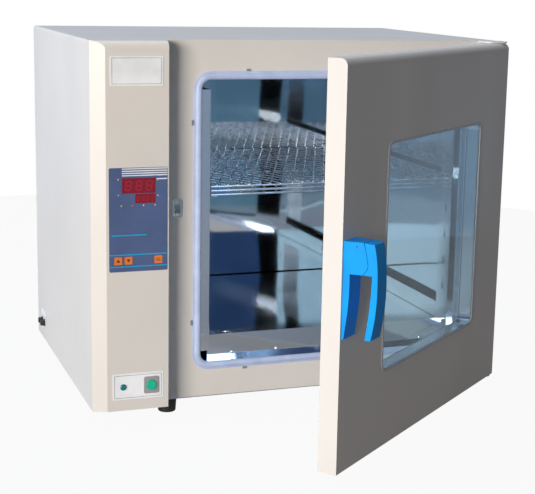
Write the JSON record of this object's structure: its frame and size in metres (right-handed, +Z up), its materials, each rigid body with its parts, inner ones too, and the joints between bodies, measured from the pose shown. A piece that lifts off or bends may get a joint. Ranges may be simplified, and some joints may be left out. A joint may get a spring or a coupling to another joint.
{
  "type": "laboratory incubator",
  "caption": "Bench laboratory incubator: insulated steel cabinet with control column, glazed hinged door with lever handle, bright chamber and expanded-metal shelf.",
  "frame": {"origin": "the middle of the front left foot's underside, on the plane that the feet stand on", "axes": "+X to the right and -Y to the front as the user faces it, +Z up; the door stands open at 40 degrees"},
  "size_m": [0.85, 1.1079, 0.718],
  "materials": {
    "cream_paint": "satin powder coat",
    "zinc_sheet": "galvanised",
    "bright_steel": "mirror polished stainless steel",
    "steel": "bright",
    "clear_glass": "clear",
    "blue_plastic": "smooth",
    "black_rubber": "matt",
    "pale_silicone": "matt",
    "black_plastic": "matt",
    "overlay_film": "satin film",
    "white_film": "satin film",
    "trim_grey": "satin",
    "red_window": "tinted",
    "light_lens": "tinted",
    "orange_plastic": "satin",
    "green_plastic": "smooth",
    "grey_plastic": "satin",
    "teal_lens": "tinted",
    "board": "lacquered",
    "wool": "fibrous",
    "core_iron": "laminated",
    "heater_sheath": "dull"
  },
  "bodies": {
    "cabinet": {"outer_shell": "cream_paint", "front_frame": "cream_paint", "base_pan": "zinc_sheet", "back_cover": "cream_paint", "rear_screws": "steel", "cord_gland": "black_plastic", "rubber_feet": "black_rubber", "foot_screws": "steel", "control_column": "cream_paint", "name_plate": "white_film", "control_overlay": "overlay_film", "display_windows": "red_window", "indicator_lights": "light_lens", "control_board": "board", "digit_modules": "grey_plastic", "key_switches": "black_plastic", "switch_plate": "white_film", "power_switch": "grey_plastic", "pilot_lamp": "teal_lens", "fuse_holders": "black_plastic", "fuse_plate": "white_film", "chamber_liner": "bright_steel", "insulation": "wool", "compartment_bulkhead": "zinc_sheet", "electronics_tray": "zinc_sheet", "transformer": "core_iron", "relay_block": "black_plastic", "temperature_probe": "steel", "opening_gasket": "pale_silicone", "gasket_clips": "black_plastic", "shelf_uprights": "bright_steel", "shelf_rails": "bright_steel", "floor_plate": "bright_steel", "floor_plate_screws": "steel", "heater_element": "heater_sheath", "heater_brackets": "zinc_sheet", "striker_catch": "steel", "hinge_brackets": "cream_paint", "hinge_screws": "steel"},
    "door": {"door_skin": "cream_paint", "door_inner_panel": "bright_steel", "door_insulation": "wool", "outer_glass": "clear_glass", "inner_glass": "clear_glass", "window_jamb": "bright_steel", "window_trim": "trim_grey", "hinge_bushes": "black_plastic", "handle_base": "blue_plastic", "handle_pin": "steel", "handle_screws": "steel"},
    "lever": {"handle_lever": "blue_plastic", "latch_hook": "steel"},
    "power_button": {"power_button": "green_plastic"},
    "key_up": {"key_up": "orange_plastic"},
    "key_down": {"key_down": "orange_plastic"},
    "key_set": {"key_set": "orange_plastic"},
    "shelf": {"shelf_frame": "steel", "shelf_mesh": "steel"}
  },
  "joints": [
    {"name": "door_hinge", "type": "hinge", "parent": "cabinet", "child": "door", "pos_m": [0.665, -0.055, 0.374], "axis": [0, 0, 1], "range_deg": [-40, 80]},
    {"name": "handle_pull", "type": "hinge", "parent": "door", "child": "lever", "pos_m": [0.18888, -0.50347, 0.419], "axis": [-0.766, -0.6428, 0], "range_deg": [0, 8], "stiffness_Nm_per_rad": 2, "springref_deg": -11.46},
    {"name": "button_press", "type": "slide", "parent": "cabinet", "child": "power_button", "axis": [0, 1, 0], "range_m": [0, 0.003], "stiffness_N_per_m": 400, "springref_m": -0.002},
    {"name": "key_up_press", "type": "slide", "parent": "cabinet", "child": "key_up", "axis": [0, 1, 0], "range_m": [0, 0.0006], "stiffness_N_per_m": 700, "springref_m": -0.001},
    {"name": "key_down_press", "type": "slide", "parent": "cabinet", "child": "key_down", "axis": [0, 1, 0], "range_m": [0, 0.0006], "stiffness_N_per_m": 700, "springref_m": -0.001},
    {"name": "key_set_press", "type": "slide", "parent": "cabinet", "child": "key_set", "axis": [0, 1, 0], "range_m": [0, 0.0006], "stiffness_N_per_m": 700, "springref_m": -0.001},
    {"name": "shelf_slide", "type": "slide", "parent": "cabinet", "child": "shelf", "axis": [0, -1, 0], "range_m": [0, 0.06]}
  ]
}
